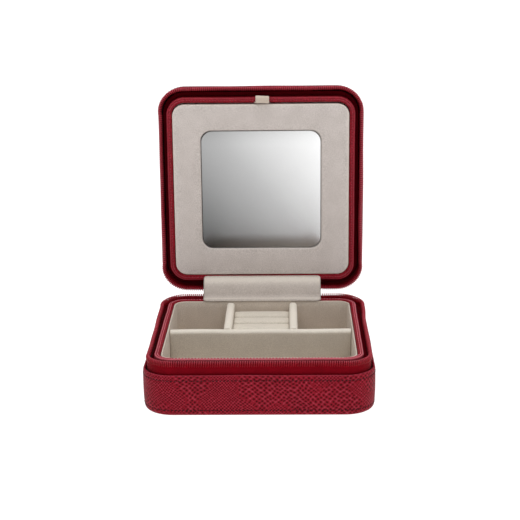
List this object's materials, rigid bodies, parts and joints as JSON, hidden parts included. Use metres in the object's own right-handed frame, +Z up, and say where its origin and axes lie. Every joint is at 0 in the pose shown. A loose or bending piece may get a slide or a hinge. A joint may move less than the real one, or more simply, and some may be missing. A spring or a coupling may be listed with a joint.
{
  "type": "leather jewellery case",
  "caption": "Square zip-around leather jewellery case with a hinged lid, mirror flap, suede tray, dividers and ring rolls.",
  "frame": {"origin": "middle of the base's underside, on the surface that the case stands on", "axes": "+Z up out of the open tray, +Y towards the hinge side, +X to the right seen from the front"},
  "size_m": [0.115, 0.1456, 0.1456],
  "materials": {
    "lizard_leather": "embossed lizard grain, satin",
    "collar_leather": "smooth, satin",
    "zip_tape": "woven tape",
    "zip_coil": "nylon coil",
    "suede": "brushed suede lining",
    "cushion_suede": "brushed suede over padding",
    "board": "raw board",
    "mirror": "silvered glass",
    "slider_metal": "polished nickel"
  },
  "bodies": {
    "base": {"base_bottom_leather": "lizard_leather", "base_leather_band": "lizard_leather", "base_board_shell": "board", "base_zip_tape": "zip_tape", "base_zip_coil": "zip_coil", "base_collar": "collar_leather", "base_suede_lining": "suede", "long_divider": "cushion_suede", "left_divider": "cushion_suede", "right_divider": "cushion_suede", "front_tray_pad": "suede", "left_tray_pad": "suede", "right_tray_pad": "suede", "ring_cushion_bed": "board", "ring_roll_1": "cushion_suede", "ring_roll_2": "cushion_suede", "ring_roll_3": "cushion_suede", "ring_roll_4": "cushion_suede", "spine_leather": "lizard_leather", "hinge_gusset": "suede"},
    "lid": {"lid_top_leather": "lizard_leather", "lid_leather_band": "lizard_leather", "lid_board_shell": "board", "lid_zip_tape": "zip_tape", "lid_zip_coil": "zip_coil", "lid_collar": "collar_leather", "lid_suede_lining": "suede", "necklace_hook_bar": "suede", "necklace_hook_1": "slider_metal", "necklace_hook_2": "slider_metal", "necklace_hook_3": "slider_metal", "necklace_hook_4": "slider_metal", "necklace_hook_5": "slider_metal", "necklace_pocket": "suede", "flap_hinge_tape": "cushion_suede"},
    "mirror_flap": {"flap_board": "board", "flap_back_suede": "suede", "mirror_frame": "suede", "mirror_glass": "mirror", "flap_pull_tab": "cushion_suede"},
    "slider_left": {"zip_slider_left": "slider_metal"},
    "slider_right": {"zip_slider_right": "slider_metal"},
    "pull_left": {"zip_pull_left": "slider_metal"},
    "pull_right": {"zip_pull_right": "slider_metal"}
  },
  "joints": [
    {"name": "lid_hinge", "type": "hinge", "parent": "base", "child": "lid", "pos_m": [0, 0.06, 0.0281], "axis": [-1, 0, 0], "range_deg": [-90, 0], "deforming": ["spine_leather", "hinge_gusset", "flap_pull_tab"]},
    {"name": "flap_hinge", "type": "hinge", "parent": "lid", "child": "mirror_flap", "pos_m": [0, 0.0608, 0.0399], "axis": [1, 0, 0], "range_deg": [0, 90], "deforming": ["flap_hinge_tape"]},
    {"name": "slider_left_travel", "type": "slide", "parent": "base", "child": "slider_left", "axis": [-1, 0, 0], "range_m": [0, 0.009]},
    {"name": "slider_right_travel", "type": "slide", "parent": "base", "child": "slider_right", "axis": [1, 0, 0], "range_m": [0, 0.009]},
    {"name": "pull_left_swing", "type": "hinge", "parent": "slider_left", "child": "pull_left", "pos_m": [-0.0285, 0.0593, 0.0281], "axis": [-1, 0, 0], "range_deg": [-90, 0]},
    {"name": "pull_right_swing", "type": "hinge", "parent": "slider_right", "child": "pull_right", "pos_m": [0.0285, 0.0593, 0.0281], "axis": [-1, 0, 0], "range_deg": [-90, 0]}
  ]
}
